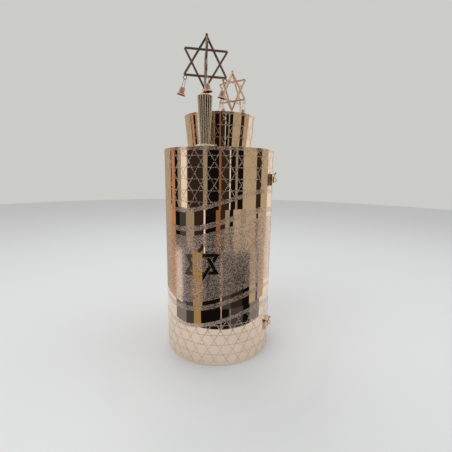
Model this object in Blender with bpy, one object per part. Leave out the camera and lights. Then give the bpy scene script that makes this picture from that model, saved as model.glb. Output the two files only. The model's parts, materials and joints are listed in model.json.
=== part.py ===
"""Torah case: a round metal case that opens like a book, with a crown and two bell-hung star finials.

Metres, +Z up. The origin is the centre of the case's base, on the surface it stands on.
The clasps face -Y, the hinges face +Y, and the two finials stand at -X and +X.
"""

import math

import bmesh
import bpy
from mathutils import Matrix, Vector

# Case: two half-round tubs that meet at a seam in the YZ plane
CASE_RADIUS = 0.160
CASE_HEIGHT = 0.597
CASE_WALL = 0.002
CASE_PLATE = 0.003
CASE_EDGE = 0.0012
CASE_STEPS = 36
SEAM_GAP = 0.0004
SEAT_GAP = 0.0003

# Crown: two half-round walls, wider at the top, each on an inner foot
CROWN_BASE_RADIUS = 0.0925
CROWN_FLARE = 0.0093
CROWN_HEIGHT = 0.0925
CROWN_WALL = 0.0018
CROWN_FOOT_WIDTH = 0.006
CROWN_STEPS = 24

# Finial stem: a round base, a column that widens upwards, and a pointed lobed cap
FINIAL_BASE_RADIUS = 0.0235
FINIAL_BASE_HEIGHT = 0.0048
FINIAL_RIM_MARGIN = 0.0020
COLUMN_FOOT_RADIUS = 0.0130
COLUMN_TOP_RADIUS = 0.0189
COLUMN_HEIGHT = 0.1160
FLUTES = 18
FLUTE_DEPTH = 0.0022
CAP_HEIGHT = 0.0139
CAP_SHOULDER = 0.0026
NECK_RADIUS = 0.0034
NECK_HEIGHT = 0.0010
FINIAL_TURN = math.radians(22)
FINIAL_FORWARD = 0.0020

# Star cage: two six-pointed star frames that cross at a right angle
STAR_RADIUS = 0.0594
STAR_BAR_WIDTH = 0.0054
STAR_BAR_DEPTH = 0.0042
STAR_TIP_CUT = 0.0050
STAR_FRAME_STEP = 0.0002
STAR_BALL_RADIUS = 0.0036
EYE_RING = 0.0042
EYE_WIRE = 0.0008
EYE_INSET = 0.0025
LEFT_STAR_LEAN = math.radians(2.1)
LEFT_STAR_LEAN_HEADING = math.radians(-78)

# Bells: thin flared shells, open below, each hung by a wire loop in a star's eye
BELL_RADIUS = 0.0118
BELL_HEIGHT = 0.0190
BELL_WALL = 0.0009
BELL_CROWN_RADIUS = 0.0048
BELL_LOOP_HEIGHT = 0.0203
BELL_LOOP_WIDTH = 0.0052
BELL_LOOP_FOOT = 0.0108
BELL_LOOP_TURN = math.radians(56)
BELL_LOOP_WIRE = 0.0007
BELL_RING_CLEARANCE = 0.0004
BELL_SWINGS = (math.radians(4), math.radians(-3), math.radians(7), math.radians(3))
BELL_LEANS = (math.radians(-6), math.radians(-13), math.radians(-2), math.radians(10))
BELL_STEPS = 10

# Clasps: a catch box on the left half and a strap with a pull and a ball on the right half
CLASP_END_DISTANCE = 0.082
CATCH_HEIGHT = 0.033
CATCH_NEAR = 0.006
CATCH_FAR = 0.036
CATCH_DEPTH = 0.0078
CATCH_FLANGE = 0.005
CLASP_PLATE = 0.0016
STRAP_HEIGHT = 0.018
STRAP_THICKNESS = 0.0016
STRAP_CLEARANCE = 0.0004
STRAP_REACH = 0.026
STRAP_FOOT_NEAR = 0.0016
STRAP_FOOT_FAR = 0.018
PULL_PROUD = 0.0042
PULL_WIRE = 0.0009
CLASP_BALL_RADIUS = 0.0030
CLASP_BALL_RISE = 0.0085

# Hinges: two leaves with three knuckles on one pin, outside the wall
HINGE_HEIGHT = 0.036
HINGE_BARREL = 0.0032
HINGE_PIN = 0.0014
HINGE_PIN_CLEARANCE = 0.0003
HINGE_KNUCKLE_GAP = 0.0004
HINGE_LEAF = 0.0015
HINGE_LEAF_REACH = 0.018
HINGE_SHELL_CLEARANCE = 0.0003
PIN_HEAD = 0.0023
PIN_HEAD_HEIGHT = 0.0012

# Fasteners: low domed heads, seated on the plate they hold
RIVET_RADIUS = 0.0016
RIVET_HEIGHT = 0.0009
RIVET_SIDES = 8

AXIS_TOLERANCE = 1e-7
LEFT = -1
RIGHT = 1
CLASP_HEIGHTS = {"lower": CLASP_END_DISTANCE, "upper": CASE_HEIGHT - CLASP_END_DISTANCE}
HINGE_AXIS_Y = CASE_RADIUS + HINGE_SHELL_CLEARANCE + HINGE_BARREL
FINIAL_AXIS = CASE_RADIUS - FINIAL_RIM_MARGIN - FINIAL_BASE_RADIUS


def clear_scene():
    for old in list(bpy.data.objects):
        bpy.data.objects.remove(old, do_unlink=True)


def make_material(name, color, roughness):
    material = bpy.data.materials.new(name)
    material.use_nodes = True
    shader = material.node_tree.nodes["Principled BSDF"]
    shader.inputs["Base Color"].default_value = (*color, 1.0)
    shader.inputs["Roughness"].default_value = roughness
    shader.inputs["Metallic"].default_value = 1.0
    return material


def finished(name, bm, material, parent, sharp=math.radians(32)):
    """Makes the named object from a bmesh, shades it and puts it under its parent."""
    bmesh.ops.recalc_face_normals(bm, faces=bm.faces)
    mesh = bpy.data.meshes.new(name)
    bm.to_mesh(mesh)
    bm.free()
    mesh.materials.append(material)
    mesh.shade_smooth()
    mesh.set_sharp_from_angle(angle=sharp)
    piece = bpy.data.objects.new(name, mesh)
    bpy.context.scene.collection.objects.link(piece)
    piece.parent = parent
    return piece


def make_empty(name, location):
    empty = bpy.data.objects.new(name, None)
    empty.empty_display_size = 0.05
    empty.location = location
    bpy.context.scene.collection.objects.link(empty)
    return empty


def as_cutter(tool):
    tool.hide_render = True
    tool.display_type = "WIRE"


def combine(piece, tool, operation):
    """Adds or cuts a helper shape, which stays in the file as a hidden wire."""
    as_cutter(tool)
    modifier = piece.modifiers.new(f"{operation.lower()}_{tool.name}", "BOOLEAN")
    modifier.operation = operation
    modifier.solver = "EXACT"
    modifier.object = tool


def arc(center, radius, start, end, steps):
    """Points of an arc in a profile, from the start angle to the end angle, in degrees."""
    points = []
    for step in range(steps + 1):
        angle = math.radians(start + (end - start) * step / steps)
        points.append((center[0] + radius * math.cos(angle), center[1] + radius * math.sin(angle)))
    return points


def revolved(profile, start, sweep, steps):
    """A bmesh turned from a closed (radius, height) profile. A part turn gets flat end faces."""
    bm = bmesh.new()
    whole = sweep > 2 * math.pi - AXIS_TOLERANCE
    on_axis = {
        index: bm.verts.new((0, 0, height))
        for index, (radius, height) in enumerate(profile)
        if radius < AXIS_TOLERANCE
    }
    rings = []
    for step in range(steps if whole else steps + 1):
        angle = start + sweep * step / steps
        ring = []
        for index, (radius, height) in enumerate(profile):
            if index in on_axis:
                ring.append(on_axis[index])
            else:
                ring.append(bm.verts.new((radius * math.cos(angle), radius * math.sin(angle), height)))
        rings.append(ring)
    for step in range(steps):
        here = rings[step]
        there = rings[(step + 1) % len(rings)]
        for index in range(len(profile)):
            after = (index + 1) % len(profile)
            corners = dict.fromkeys((here[index], here[after], there[after], there[index]))
            if len(corners) > 2:
                bm.faces.new(list(corners))
    if not whole:
        bm.faces.new(rings[0])
        bm.faces.new(rings[-1][::-1])
    return bm


def half_turn_start(side):
    """The angle at which a half turn starts, so that it covers the left or the right side."""
    return math.pi / 2 if side == LEFT else -math.pi / 2


def bridged(rings, bm):
    """Walls between stacked rings of equal length, with a flat face on the first and last."""
    for low, high in zip(rings, rings[1:]):
        for index in range(len(low)):
            after = (index + 1) % len(low)
            bm.faces.new((low[index], low[after], high[after], high[index]))
    bm.faces.new(rings[0][::-1])
    bm.faces.new(rings[-1])


def wrapped_block(outline, low, high, radius, back=False):
    """A bmesh of an (along, proud) outline wrapped onto the wall and extruded from low to high."""
    bm = bmesh.new()
    facing = 1 if back else -1
    rings = []
    for height in (low, high):
        ring = []
        for along, proud in outline:
            angle = along / radius
            reach = radius + proud
            ring.append(bm.verts.new((reach * math.sin(angle), facing * reach * math.cos(angle), height)))
        rings.append(ring)
    bridged(rings, bm)
    return bm


def box_outline(start, end, low, high, steps=3):
    """An (along, proud) rectangle with enough points along it to follow the round wall."""
    inner = [(start + (end - start) * step / steps, low) for step in range(steps + 1)]
    outer = [(start + (end - start) * step / steps, high) for step in reversed(range(steps + 1))]
    return inner + outer


def bar_through(bm, start, end, width, depth, normal):
    """Adds a square-ended bar from start to end, depth being measured along the normal."""
    along = (end - start).normalized()
    across = normal.cross(along) * width / 2
    out = normal * depth / 2
    rings = []
    for point in (start, end):
        corners = (point - across - out, point + across - out, point + across + out, point - across + out)
        rings.append([bm.verts.new(corner) for corner in corners])
    bridged(rings, bm)


def wire_ring(points, radius, sides, closed):
    """A bmesh of a round wire along flat points in the XZ plane, closed on itself or with flat ends."""
    bm = bmesh.new()
    normal = Vector((0, 1, 0))
    rings = []
    count = len(points)
    for index, point in enumerate(points):
        before = points[index - 1] if closed or index else point
        after = points[(index + 1) % count] if closed or index < count - 1 else point
        outward = (after - before).normalized().cross(normal)
        ring = []
        for side in range(sides):
            angle = 2 * math.pi * side / sides
            ring.append(bm.verts.new(point + radius * (outward * math.cos(angle) + normal * math.sin(angle))))
        rings.append(ring)
    if not closed:
        bridged(rings, bm)
        return bm
    for index in range(count):
        here = rings[index]
        there = rings[(index + 1) % count]
        for side in range(sides):
            after = (side + 1) % sides
            bm.faces.new((here[side], here[after], there[after], there[side]))
    return bm


def make_case_half(name, side, material, parent):
    """Half of the round case: its wall with half of the top and bottom plates, open at the seam."""
    radius = CASE_RADIUS
    inner = radius - CASE_WALL
    top = CASE_HEIGHT
    profile = [(0, 0)]
    profile += arc((radius - CASE_EDGE, CASE_EDGE), CASE_EDGE, -90, 0, 2)
    profile += arc((radius - CASE_EDGE, top - CASE_EDGE), CASE_EDGE, 0, 90, 2)
    profile += [(0, top), (0, top - CASE_PLATE), (inner, top - CASE_PLATE), (inner, CASE_PLATE), (0, CASE_PLATE)]
    bm = revolved(profile, half_turn_start(side), math.pi, CASE_STEPS)
    bm.transform(Matrix.Translation((side * SEAM_GAP / 2, 0, 0)))
    return finished(name, bm, material, parent)


def make_crown_half(name, side, material, parent):
    """Half of the open crown: a flared wall with a narrow foot turned inwards."""
    base = CROWN_BASE_RADIUS
    rim = base + CROWN_FLARE
    seat = CASE_HEIGHT + SEAT_GAP
    top = seat + CROWN_HEIGHT
    foot = seat + CROWN_WALL
    lean = CROWN_FLARE * CROWN_WALL / CROWN_HEIGHT
    profile = [
        (base - CROWN_FOOT_WIDTH, seat),
        (base, seat),
        (rim, top),
        (rim - CROWN_WALL, top),
        (base - CROWN_WALL + lean, foot),
        (base - CROWN_FOOT_WIDTH, foot),
    ]
    bm = revolved(profile, half_turn_start(side), math.pi, CROWN_STEPS)
    bm.transform(Matrix.Translation((side * SEAM_GAP / 2, 0, 0)))
    return finished(name, bm, material, parent)


def fluted_ring(bm, height, radius, depth):
    """A ring of points whose radius dips by depth between each pair of ribs."""
    ring = []
    per_flute = 3
    for index in range(FLUTES * per_flute):
        angle = 2 * math.pi * index / (FLUTES * per_flute)
        dip = math.sin(math.pi * (index % per_flute) / per_flute)
        reach = radius - depth * dip
        ring.append(bm.verts.new((reach * math.cos(angle), reach * math.sin(angle), height)))
    return ring


def cap_levels(low):
    """Heights, radii and lobe depths up the pointed cap, ending in the neck."""
    shoulder = COLUMN_TOP_RADIUS - CAP_SHOULDER
    return [
        (low + CAP_SHOULDER / 3, shoulder, FLUTE_DEPTH / 2),
        (low + CAP_HEIGHT, NECK_RADIUS, 0.0),
        (low + CAP_HEIGHT + NECK_HEIGHT, NECK_RADIUS, 0.0),
    ]


def make_stem(name, material, parent):
    """The finial's base, fluted column and lobed cap, cast as one."""
    column_low = FINIAL_BASE_HEIGHT
    column_high = column_low + COLUMN_HEIGHT
    edge = FINIAL_BASE_HEIGHT / 3
    levels = [
        (0, FINIAL_BASE_RADIUS, 0),
        (FINIAL_BASE_HEIGHT - edge, FINIAL_BASE_RADIUS, 0),
        (FINIAL_BASE_HEIGHT, FINIAL_BASE_RADIUS - edge, 0),
        (FINIAL_BASE_HEIGHT, COLUMN_FOOT_RADIUS, FLUTE_DEPTH),
        (column_high, COLUMN_TOP_RADIUS, FLUTE_DEPTH),
    ]
    levels += cap_levels(column_high)
    bm = bmesh.new()
    rings = [fluted_ring(bm, height, radius, depth) for height, radius, depth in levels]
    bridged(rings, bm)
    return finished(name, bm, material, parent)


def star_center_height():
    """Height of the star's centre above the finial's seat: its lowest point stands on the neck."""
    neck_top = FINIAL_BASE_HEIGHT + COLUMN_HEIGHT + CAP_HEIGHT + NECK_HEIGHT
    return neck_top + SEAT_GAP + star_tip_height()


def star_tip_height():
    """How far the star's cut tips stand from its centre."""
    return STAR_RADIUS + STAR_BAR_WIDTH - STAR_TIP_CUT


def corner_directions(turned):
    """Directions of the three corners of one triangle of the star, in the XZ plane."""
    start = -90 if turned else 90
    angles = [math.radians(start + 120 * corner) for corner in range(3)]
    return [Vector((math.cos(angle), 0, math.sin(angle))) for angle in angles]


def triangle_frame(turned, thinner):
    """One triangle of flat bar with its tips cut square, as a bmesh."""
    bm = bmesh.new()
    half_depth = (STAR_BAR_DEPTH - thinner) / 2
    outer_tip = STAR_RADIUS + STAR_BAR_WIDTH - thinner
    inner_tip = STAR_RADIUS - STAR_BAR_WIDTH + thinner
    cut = STAR_TIP_CUT - thinner
    sideways = cut * math.tan(math.radians(30))
    front = []
    back = []
    for out in corner_directions(turned):
        across = Vector((-out.z, 0, out.x)) * sideways
        blunt = out * (outer_tip - cut)
        for face, y in ((front, -half_depth), (back, half_depth)):
            depth = Vector((0, y, 0))
            points = (blunt - across, blunt + across, out * inner_tip)
            face.append([bm.verts.new(point + depth) for point in points])
    for index in range(3):
        after = (index + 1) % 3
        for face in (front, back):
            bm.faces.new(face[index])
            bm.faces.new((face[index][1], face[after][0], face[after][2], face[index][2]))
        for one, two in (
            ((index, 0), (index, 1)),
            ((index, 1), (after, 0)),
            ((index, 2), (after, 2)),
        ):
            near_one = front[one[0]][one[1]]
            near_two = front[two[0]][two[1]]
            far_one = back[one[0]][one[1]]
            far_two = back[two[0]][two[1]]
            bm.faces.new((near_one, near_two, far_two, far_one))
    return bm


def eye_center():
    """Centre of the eye that hangs under a lower corner, in its star's own XZ plane."""
    reach = STAR_RADIUS * math.cos(math.radians(30)) - EYE_INSET
    drop = STAR_RADIUS / 2 + STAR_BAR_WIDTH / 2 + EYE_RING - EYE_WIRE / 2
    return Vector((reach, 0, -drop))


def make_star_cage(name, material, parent):
    """Two crossed stars, a ball on top and an eye under each lower corner, soldered into one.

    Each triangle is a hair thinner than the last, so no two of their faces share a plane.
    """
    spare = {}
    for quarter in range(2):
        for turned in (False, True):
            bm = triangle_frame(turned, (2 * quarter + turned) * STAR_FRAME_STEP)
            bm.transform(Matrix.Rotation(quarter * math.pi / 2, 4, "Z"))
            label = f"{name}_star{quarter}_{'down' if turned else 'up'}"
            spare[label] = finished(label, bm, material, parent)
    cage = spare.pop(f"{name}_star0_up")
    cage.name = name
    for tool in spare.values():
        combine(cage, tool, "UNION")
    ball = bmesh.new()
    bmesh.ops.create_uvsphere(ball, u_segments=10, v_segments=6, radius=STAR_BALL_RADIUS)
    ball.transform(Matrix.Translation((0, 0, star_tip_height() + STAR_BALL_RADIUS * 0.8)))
    combine(cage, finished(f"{name}_ball", ball, material, parent), "UNION")
    sides = 8
    for corner in range(4):
        center = eye_center()
        points = []
        for step in range(sides):
            angle = 2 * math.pi * step / sides
            points.append(center + EYE_RING * Vector((math.cos(angle), 0, math.sin(angle))))
        eye = wire_ring(points, EYE_WIRE, 5, True)
        eye.transform(Matrix.Rotation(corner * math.pi / 2, 4, "Z"))
        combine(cage, finished(f"{name}_eye{corner}", eye, material, parent), "UNION")
    return cage


def bell_wall():
    """The bell's closed (radius, height) profile: outside downwards, inside back up, top at zero."""
    waist = BELL_RADIUS * 0.58
    outside = [
        (0, 0),
        (BELL_CROWN_RADIUS, -BELL_HEIGHT * 0.06),
        (waist, -BELL_HEIGHT * 0.26),
        (waist * 1.16, -BELL_HEIGHT * 0.62),
        (BELL_RADIUS * 0.84, -BELL_HEIGHT * 0.88),
        (BELL_RADIUS, -BELL_HEIGHT),
    ]
    inside = [
        (BELL_RADIUS - BELL_WALL, -BELL_HEIGHT),
        (BELL_RADIUS * 0.84 - BELL_WALL, -BELL_HEIGHT * 0.88 + BELL_WALL / 2),
        (waist * 1.16 - BELL_WALL, -BELL_HEIGHT * 0.62),
        (waist - BELL_WALL, -BELL_HEIGHT * 0.26 - BELL_WALL),
        (0, -BELL_HEIGHT * 0.06 - 2 * BELL_WALL),
    ]
    return (outside + inside)[::-1]


def make_bell(name, swing, lean, material, parent):
    """A bell with its wire loop, which lies across the eye. Its origin is where the loop bears on it."""
    drop = BELL_LOOP_HEIGHT - BELL_LOOP_WIRE
    body = revolved(bell_wall(), 0, 2 * math.pi, BELL_STEPS)
    body.transform(Matrix.Translation((0, 0, -drop)))
    bell = finished(name, body, material, parent)
    half = BELL_LOOP_WIDTH / 2
    foot = BELL_LOOP_FOOT / 2
    low = -drop - 2 * BELL_WALL
    points = [Vector((x, 0, z)) for x, z in arc((0, -half), half, 180, 0, 4)]
    points += [Vector((foot, 0, low)), Vector((-foot, 0, low))]
    ring = wire_ring(points, BELL_LOOP_WIRE, 5, True)
    ring.transform(Matrix.Rotation(BELL_LOOP_TURN, 4, "Z"))
    combine(bell, finished(f"{name}_loop", ring, material, bell), "UNION")
    eye = eye_center()
    bearing = eye + Vector((0, 0, -EYE_RING + EYE_WIRE + BELL_LOOP_WIRE + BELL_RING_CLEARANCE))
    bell.rotation_euler = (swing, lean, 0)
    bell.location = bearing
    return bell


def make_finial(side, bronze, copper, parent):
    """One whole finial: the stem on the case's top, the star cage on its neck, and four bells."""
    word = "left" if side == LEFT else "right"
    seat = make_empty(f"finial_{word}_seat", (0, 0, 0))
    seat.parent = parent
    seat.location = (side * (FINIAL_AXIS + SEAM_GAP / 2), -FINIAL_FORWARD, CASE_HEIGHT + SEAT_GAP)
    seat.rotation_euler = (0, 0, -side * FINIAL_TURN)
    make_stem(f"finial_stem_{word}", bronze, seat)
    stand = make_empty(f"star_{word}_foot", (0, 0, 0))
    stand.parent = seat
    foot = star_center_height() - star_tip_height()
    lean = LEFT_STAR_LEAN if side == LEFT else 0.0
    heading = LEFT_STAR_LEAN_HEADING - seat.rotation_euler.z
    lean_axis = Vector((-math.sin(heading), math.cos(heading), 0))
    lift = NECK_RADIUS * math.sin(lean)
    raised = Matrix.Translation((0, 0, foot + lift))
    up_to_center = Matrix.Translation((0, 0, star_tip_height()))
    stand.matrix_local = raised @ Matrix.Rotation(lean, 4, lean_axis) @ up_to_center
    make_star_cage(f"finial_star_{word}", copper, stand)
    for corner in range(4):
        arm = make_empty(f"star_{word}_arm{corner + 1}", (0, 0, 0))
        arm.parent = stand
        arm.rotation_euler = (0, 0, corner * math.pi / 2)
        make_bell(f"bell_{word}_{corner + 1}", BELL_SWINGS[corner], BELL_LEANS[corner], copper, arm)


def make_rivet(name, along, height, seat, back, material, parent):
    """A low domed head whose flat face sits just over a plate that stands seat proud of the wall."""
    facing = 1 if back else -1
    angle = along / CASE_RADIUS
    out = Vector((math.sin(angle), facing * math.cos(angle), 0))
    profile = [(0, 0), (RIVET_RADIUS, 0), (RIVET_RADIUS * 0.72, RIVET_HEIGHT * 0.75), (0, RIVET_HEIGHT)]
    bm = revolved(profile, 0, 2 * math.pi, RIVET_SIDES)
    bm.transform(out.to_track_quat("Z", "Y").to_matrix().to_4x4())
    bm.transform(Matrix.Translation(out * (CASE_RADIUS + seat + SEAT_GAP) + Vector((0, 0, height))))
    return finished(name, bm, material, parent)


def make_catch(word, height, material, parent):
    """The left half's catch: a raised block on a flange, bent to the wall."""
    low = height - CATCH_HEIGHT / 2
    high = height + CATCH_HEIGHT / 2
    plate = SEAT_GAP + CLASP_PLATE
    bevel = CLASP_PLATE / 2
    far_edge = -CATCH_FAR - CATCH_FLANGE
    near_edge = -CATCH_NEAR + CATCH_FLANGE / 2
    steps = 4
    outline = [(far_edge + (near_edge - far_edge) * step / steps, SEAT_GAP) for step in range(steps + 1)]
    outline += [
        (near_edge, plate),
        (-CATCH_NEAR, plate),
        (-CATCH_NEAR, CATCH_DEPTH - bevel),
        (-CATCH_NEAR - bevel, CATCH_DEPTH),
        ((-CATCH_NEAR - CATCH_FAR) / 2, CATCH_DEPTH),
        (-CATCH_FAR + bevel, CATCH_DEPTH),
        (-CATCH_FAR, CATCH_DEPTH - bevel),
        (-CATCH_FAR, plate),
        (far_edge, plate),
    ]
    piece = finished(f"catch_{word}", wrapped_block(outline, low, high, CASE_RADIUS), material, parent)
    for label, rise in (("a", -1), ("b", 1)):
        make_rivet(
            f"rivet_catch_{word}_{label}",
            -CATCH_FAR - CATCH_FLANGE / 2,
            height + rise * CATCH_HEIGHT / 3,
            plate,
            False,
            material,
            parent,
        )
    return piece


def strap_levels():
    """How far the strap's foot plate, inner face and outer face stand proud of the wall."""
    plate = SEAT_GAP + CLASP_PLATE
    inner = CATCH_DEPTH + STRAP_CLEARANCE
    return plate, inner, inner + STRAP_THICKNESS


def make_strap(word, height, material, parent):
    """The right half's strap: it steps up over the seam and lies across the catch, with a pull and a ball."""
    low = height - STRAP_HEIGHT / 2
    high = height + STRAP_HEIGHT / 2
    plate, inner, outer = strap_levels()
    reach = -STRAP_REACH
    middle = reach / 2
    outline = [
        (STRAP_FOOT_NEAR, SEAT_GAP),
        ((STRAP_FOOT_NEAR + STRAP_FOOT_FAR) / 2, SEAT_GAP),
        (STRAP_FOOT_FAR, SEAT_GAP),
        (STRAP_FOOT_FAR, plate),
        (STRAP_FOOT_NEAR + STRAP_THICKNESS, plate),
        (STRAP_FOOT_NEAR + STRAP_THICKNESS, inner),
        (STRAP_FOOT_NEAR, outer),
        (middle, outer),
        (reach, outer),
        (reach, inner),
        (middle, inner),
        (STRAP_FOOT_NEAR, inner),
    ]
    strap = finished(f"strap_{word}", wrapped_block(outline, low, high, CASE_RADIUS), material, parent)
    center = -(CATCH_NEAR + STRAP_REACH) / 2
    angle = center / CASE_RADIUS
    frame = make_empty(f"strap_{word}_pull_frame", (0, 0, 0))
    frame.parent = parent
    base = (CASE_RADIUS + outer) * Vector((math.sin(angle), -math.cos(angle), 0))
    frame.location = base + Vector((0, 0, height))
    frame.rotation_euler = (0, 0, angle - math.pi / 2)
    sunk = STRAP_THICKNESS / 2
    span = STRAP_HEIGHT / 3
    points = [Vector((-sunk, 0, span)), Vector((PULL_WIRE, 0, span))]
    points += [Vector((PULL_PROUD * math.cos(a), 0, span * math.sin(a))) for a in (0.8, 0.3, -0.3, -0.8)]
    points += [Vector((PULL_WIRE, 0, -span)), Vector((-sunk, 0, -span))]
    pull = finished(f"strap_{word}_pull", wire_ring(points, PULL_WIRE, 6, False), material, frame)
    combine(strap, pull, "UNION")
    post = bmesh.new()
    start = Vector((-sunk, 0, STRAP_HEIGHT / 2 - sunk))
    end = Vector((-sunk, 0, STRAP_HEIGHT / 2 + CLASP_BALL_RISE))
    bar_through(post, start, end, STRAP_THICKNESS, STRAP_THICKNESS * 0.8, Vector((0, 1, 0)))
    combine(strap, finished(f"strap_{word}_post", post, material, frame), "UNION")
    ball = bmesh.new()
    bmesh.ops.create_uvsphere(ball, u_segments=10, v_segments=6, radius=CLASP_BALL_RADIUS)
    ball.transform(Matrix.Translation(end + Vector((CLASP_BALL_RADIUS - sunk, 0, 0))))
    combine(strap, finished(f"strap_{word}_ball", ball, material, frame), "UNION")
    for label, rise in (("a", -1), ("b", 1)):
        make_rivet(
            f"rivet_strap_{word}_{label}",
            (STRAP_FOOT_NEAR + STRAP_THICKNESS + STRAP_FOOT_FAR) / 2,
            height + rise * STRAP_HEIGHT / 4,
            plate,
            False,
            material,
            parent,
        )
    return strap


def knuckle_spans(height):
    """The (low, high) heights of the three knuckles, bottom to top."""
    pitch = HINGE_HEIGHT / 3
    low = height - HINGE_HEIGHT / 2
    gap = HINGE_KNUCKLE_GAP / 2
    return [(low + pitch * index + gap, low + pitch * (index + 1) - gap) for index in range(3)]


def cylinder(radius, low, high, sides):
    return revolved([(0, low), (radius, low), (radius, high), (0, high)], 0, 2 * math.pi, sides)


def make_leaf(word, side, height, spans, material, parent):
    """A hinge leaf: a plate bent to the wall, with its knuckles rolled around the pin's hole."""
    name = f"hinge_leaf_{word}_{'left' if side == LEFT else 'right'}"
    near = HINGE_BARREL + HINGE_KNUCKLE_GAP
    face = SEAT_GAP + HINGE_LEAF
    low = height - HINGE_HEIGHT / 2
    high = height + HINGE_HEIGHT / 2
    outline = [(side * along, proud) for along, proud in box_outline(near, HINGE_LEAF_REACH, SEAT_GAP, face, 2)]
    leaf = finished(name, wrapped_block(outline, low, high, CASE_RADIUS, back=True), material, parent)
    inset = HINGE_LEAF / 10
    for index, (bottom, top) in enumerate(spans):
        web = [(0, SEAT_GAP + inset), (0, face - inset), (side * near * 1.2, face - inset)]
        web += [(side * near * 1.2, SEAT_GAP + inset)]
        web_block = wrapped_block(web, bottom + inset, top - inset, CASE_RADIUS, back=True)
        combine(leaf, finished(f"{name}_web{index}", web_block, material, parent), "UNION")
        barrel = cylinder(HINGE_BARREL, bottom, top, 14)
        barrel.transform(Matrix.Translation((0, HINGE_AXIS_Y, 0)))
        combine(leaf, finished(f"{name}_knuckle{index}", barrel, material, parent), "UNION")
    hole = cylinder(HINGE_PIN + HINGE_PIN_CLEARANCE, low - HINGE_BARREL, high + HINGE_BARREL, 12)
    hole.transform(Matrix.Translation((0, HINGE_AXIS_Y, 0)))
    combine(leaf, finished(f"{name}_hole", hole, material, parent), "DIFFERENCE")
    for label, rise in (("a", -1), ("b", 1)):
        make_rivet(
            f"screw_{word}_{'left' if side == LEFT else 'right'}_{label}",
            side * (near + HINGE_LEAF_REACH) / 2,
            height + rise * HINGE_HEIGHT / 4,
            face,
            True,
            material,
            parent,
        )
    return leaf


def make_pin(word, height, material, parent):
    """The hinge pin, with a head over each end of the barrel."""
    low = height - HINGE_HEIGHT / 2 - SEAT_GAP
    high = height + HINGE_HEIGHT / 2 + SEAT_GAP
    profile = [
        (0, low - PIN_HEAD_HEIGHT),
        (PIN_HEAD * 0.7, low - PIN_HEAD_HEIGHT),
        (PIN_HEAD, low),
        (HINGE_PIN, low),
        (HINGE_PIN, high),
        (PIN_HEAD, high),
        (PIN_HEAD * 0.7, high + PIN_HEAD_HEIGHT),
        (0, high + PIN_HEAD_HEIGHT),
    ]
    bm = revolved(profile, 0, 2 * math.pi, 10)
    bm.transform(Matrix.Translation((0, HINGE_AXIS_Y, 0)))
    return finished(f"hinge_pin_{word}", bm, material, parent)


def build():
    clear_scene()
    rose = make_material("polished_rose_metal", (0.80, 0.62, 0.48), 0.12)
    bronze = make_material("brushed_pale_bronze", (0.72, 0.60, 0.44), 0.25)
    copper = make_material("dark_copper", (0.52, 0.34, 0.24), 0.30)

    fixed = make_empty("fixed_half", (0, 0, 0))
    door = make_empty("swinging_half", (0, HINGE_AXIS_Y, 0))
    moved = make_empty("swinging_half_frame", (0, -HINGE_AXIS_Y, 0))
    moved.parent = door

    for side, word, parent in ((LEFT, "left", fixed), (RIGHT, "right", moved)):
        make_case_half(f"case_half_{word}", side, rose, parent)
        make_crown_half(f"crown_half_{word}", side, rose, parent)
        make_finial(side, bronze, copper, parent)
    for word, height in CLASP_HEIGHTS.items():
        make_catch(word, height, rose, fixed)
        make_strap(word, height, rose, moved)
        bottom, middle, top = knuckle_spans(height)
        make_leaf(word, LEFT, height, (bottom, top), rose, fixed)
        make_leaf(word, RIGHT, height, (middle,), rose, moved)
        make_pin(word, height, rose, fixed)


build()
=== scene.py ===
"""Looks of a torah case: mirror-polished rose metal with an etched star lattice, waved bands and a star.

Metres, +Z up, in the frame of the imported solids. Angles round the case are measured from the
clasps' side (-Y), positive towards +X, and heights from the case's base.
"""

import json
import math

import bmesh
import bpy
from mathutils import Matrix, Vector
from mathutils.geometry import delaunay_2d_cdt


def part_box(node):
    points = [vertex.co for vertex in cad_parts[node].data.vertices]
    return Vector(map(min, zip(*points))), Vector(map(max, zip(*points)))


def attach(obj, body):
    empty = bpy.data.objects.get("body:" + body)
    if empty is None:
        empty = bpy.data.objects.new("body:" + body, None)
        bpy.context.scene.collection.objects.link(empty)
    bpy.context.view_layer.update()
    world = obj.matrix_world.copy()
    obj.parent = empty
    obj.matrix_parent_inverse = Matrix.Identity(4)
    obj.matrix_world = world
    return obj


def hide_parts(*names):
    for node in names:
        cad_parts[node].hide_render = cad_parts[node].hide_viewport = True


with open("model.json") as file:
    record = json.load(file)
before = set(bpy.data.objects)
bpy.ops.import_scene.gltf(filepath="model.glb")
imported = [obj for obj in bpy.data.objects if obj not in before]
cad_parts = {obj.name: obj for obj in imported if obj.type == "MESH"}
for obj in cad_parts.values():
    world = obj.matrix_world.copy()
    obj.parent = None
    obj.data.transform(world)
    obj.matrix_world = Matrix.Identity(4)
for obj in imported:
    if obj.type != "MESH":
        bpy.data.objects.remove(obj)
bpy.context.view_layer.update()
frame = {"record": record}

LEFT = -1
RIGHT = 1
WORDS = {LEFT: "left", RIGHT: "right"}
BODIES = {LEFT: "fixed_half", RIGHT: "swinging_half"}
MM = 0.001

# Camera: distance from the case's axis, height, and its aim
CAMERA_AZIMUTH = math.radians(-73.4)
CAMERA_DISTANCE = 0.9085
CAMERA_HEIGHT = 0.5361
CAMERA_DOWN = math.radians(10.385)
CAMERA_RIGHT = math.radians(1.427)
CAMERA_ROLL = math.radians(0.713)
CAMERA_LENS = 23.66
CAMERA_SENSOR = 36.0

# Case, from the frame
CASE_LOW, CASE_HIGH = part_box("case_half_left")
CASE_RADIUS = CASE_HIGH.y
CASE_TOP = CASE_HIGH.z
SEAM_HALF = abs(CASE_HIGH.x)
CASE_WALL = 2.0 * MM
CASE_PLATE = 3.0 * MM
CASE_EDGE = 1.2 * MM

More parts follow.
